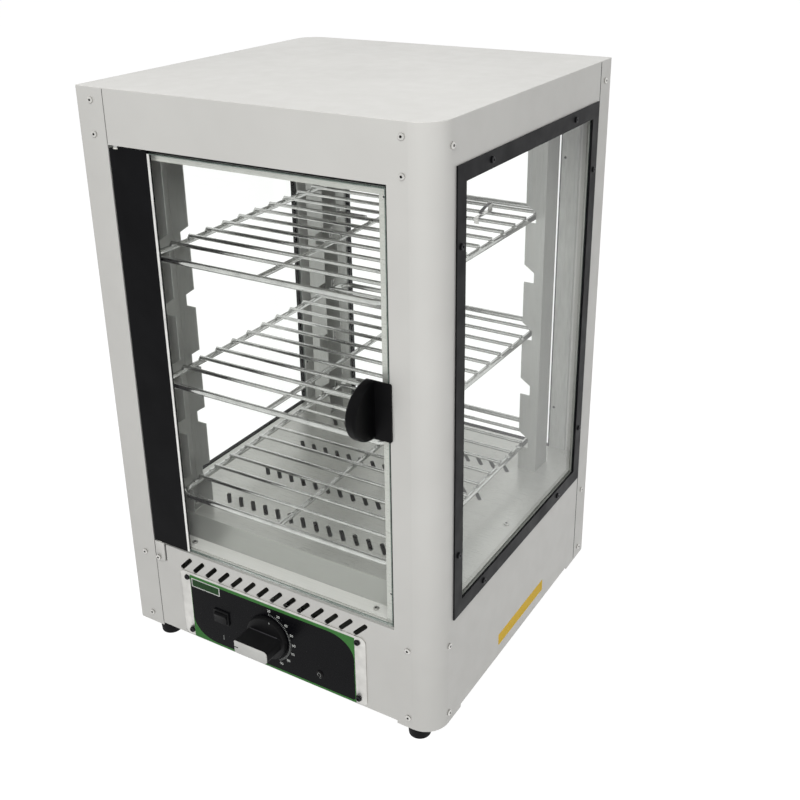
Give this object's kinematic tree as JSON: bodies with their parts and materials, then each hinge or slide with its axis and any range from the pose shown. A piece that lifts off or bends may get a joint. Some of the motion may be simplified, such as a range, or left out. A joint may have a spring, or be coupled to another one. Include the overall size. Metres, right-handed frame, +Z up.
{
  "type": "heated display case",
  "caption": "Counter-top heated display case: folded steel cabinet, three windows, hinged glass door, wire racks on notched channels, heater and controls below.",
  "frame": {"origin": "on the floor under the middle of the cabinet's plan, level with the undersides of the feet", "axes": "+X to the right seen from the door side, +Y to the back, +Z up; the door faces -Y"},
  "size_m": [0.3862, 0.4127, 0.61],
  "materials": {
    "case_sheet": "satin",
    "inner_sheet": "satin",
    "retainer_strip": "satin",
    "black_paint": "satin",
    "clear_glass": "clear",
    "black_rubber": "matte",
    "black_screw": "satin",
    "bright_screw": "polished",
    "chrome_wire": "polished",
    "nylon": "matte",
    "magnet": "satin",
    "black_plastic": "matte",
    "plate_metal": "satin",
    "printed_film": "semi-gloss",
    "pale_insert": "satin",
    "nut_brass": "bright",
    "shaft_steel": "satin",
    "lamp_lens": "clear",
    "element_sheath": "oxidised"
  },
  "bodies": {
    "cabinet": {"base_pan": "inner_sheet", "bulb_clip": "inner_sheet", "case_screws": "bright_screw", "ceiling_panel": "inner_sheet", "chamber_floor": "inner_sheet", "control_overlay": "printed_film", "control_plate": "plate_metal", "control_plate_screws": "black_screw", "cord_gland": "black_plastic", "door_magnet": "magnet", "door_stop": "inner_sheet", "feet": "black_rubber", "front_element_support": "inner_sheet", "front_right_wrap": "case_sheet", "heating_element": "element_sheath", "indicator_lamp": "lamp_lens", "inner_screws": "bright_screw", "left_front_upright": "inner_sheet", "left_rear_upright": "inner_sheet", "left_window_frame": "black_paint", "left_window_glass": "clear_glass", "left_window_retainer": "retainer_strip", "lower_hinge_bracket": "inner_sheet", "lower_pivot_pin": "bright_screw", "rear_element_support": "inner_sheet", "rear_left_wrap": "case_sheet", "rear_window_frame": "black_paint", "rear_window_glass": "clear_glass", "rear_window_retainer": "retainer_strip", "right_front_upright": "inner_sheet", "right_rear_upright": "inner_sheet", "right_window_frame": "black_paint", "right_window_glass": "clear_glass", "right_window_retainer": "retainer_strip", "rocker_switch_body": "black_plastic", "roof_panel": "case_sheet", "terminal_block": "nylon", "thermostat_body": "black_plastic", "thermostat_bulb": "shaft_steel", "thermostat_nut": "nut_brass", "upper_pivot_pin": "bright_screw", "window_gaskets": "black_rubber", "window_screws": "black_screw"},
    "door": {"door_glass": "clear_glass", "door_stile": "black_paint", "door_glazing_bead": "black_rubber", "lower_pivot_bush": "nylon", "upper_pivot_bush": "nylon", "door_handle": "black_plastic", "handle_backplate": "black_plastic", "handle_screws": "black_screw"},
    "knob": {"thermostat_knob": "black_plastic", "knob_insert": "pale_insert", "thermostat_shaft": "shaft_steel"},
    "rocker": {"rocker_key": "black_plastic"},
    "upper_shelf": {"top_rack": "chrome_wire", "rack_clip": "inner_sheet"},
    "centre_shelf": {"middle_rack": "chrome_wire"},
    "lower_shelf": {"bottom_rack": "chrome_wire"}
  },
  "joints": [
    {"name": "door_swing", "type": "hinge", "parent": "cabinet", "child": "door", "pos_m": [-0.1475, -0.1819, 0.343], "axis": [0, 0, -1], "range_deg": [0, 110]},
    {"name": "thermostat_turn", "type": "hinge", "parent": "cabinet", "child": "knob", "pos_m": [-0.0065, -0.19, 0.0624], "axis": [0, 1, 0], "range_deg": [0, 270]},
    {"name": "rocker_tip", "type": "hinge", "parent": "cabinet", "child": "rocker", "pos_m": [-0.0675, -0.182, 0.0635], "axis": [-1, 0, 0], "range_deg": [0, 13]},
    {"name": "top_rack_lift", "type": "slide", "parent": "cabinet", "child": "upper_shelf", "axis": [0, 0, 1], "range_m": [0, 0.008]},
    {"name": "middle_rack_lift", "type": "slide", "parent": "cabinet", "child": "centre_shelf", "axis": [0, 0, 1], "range_m": [0, 0.008]},
    {"name": "bottom_rack_lift", "type": "slide", "parent": "cabinet", "child": "lower_shelf", "axis": [0, 0, 1], "range_m": [0, 0.008]}
  ]
}
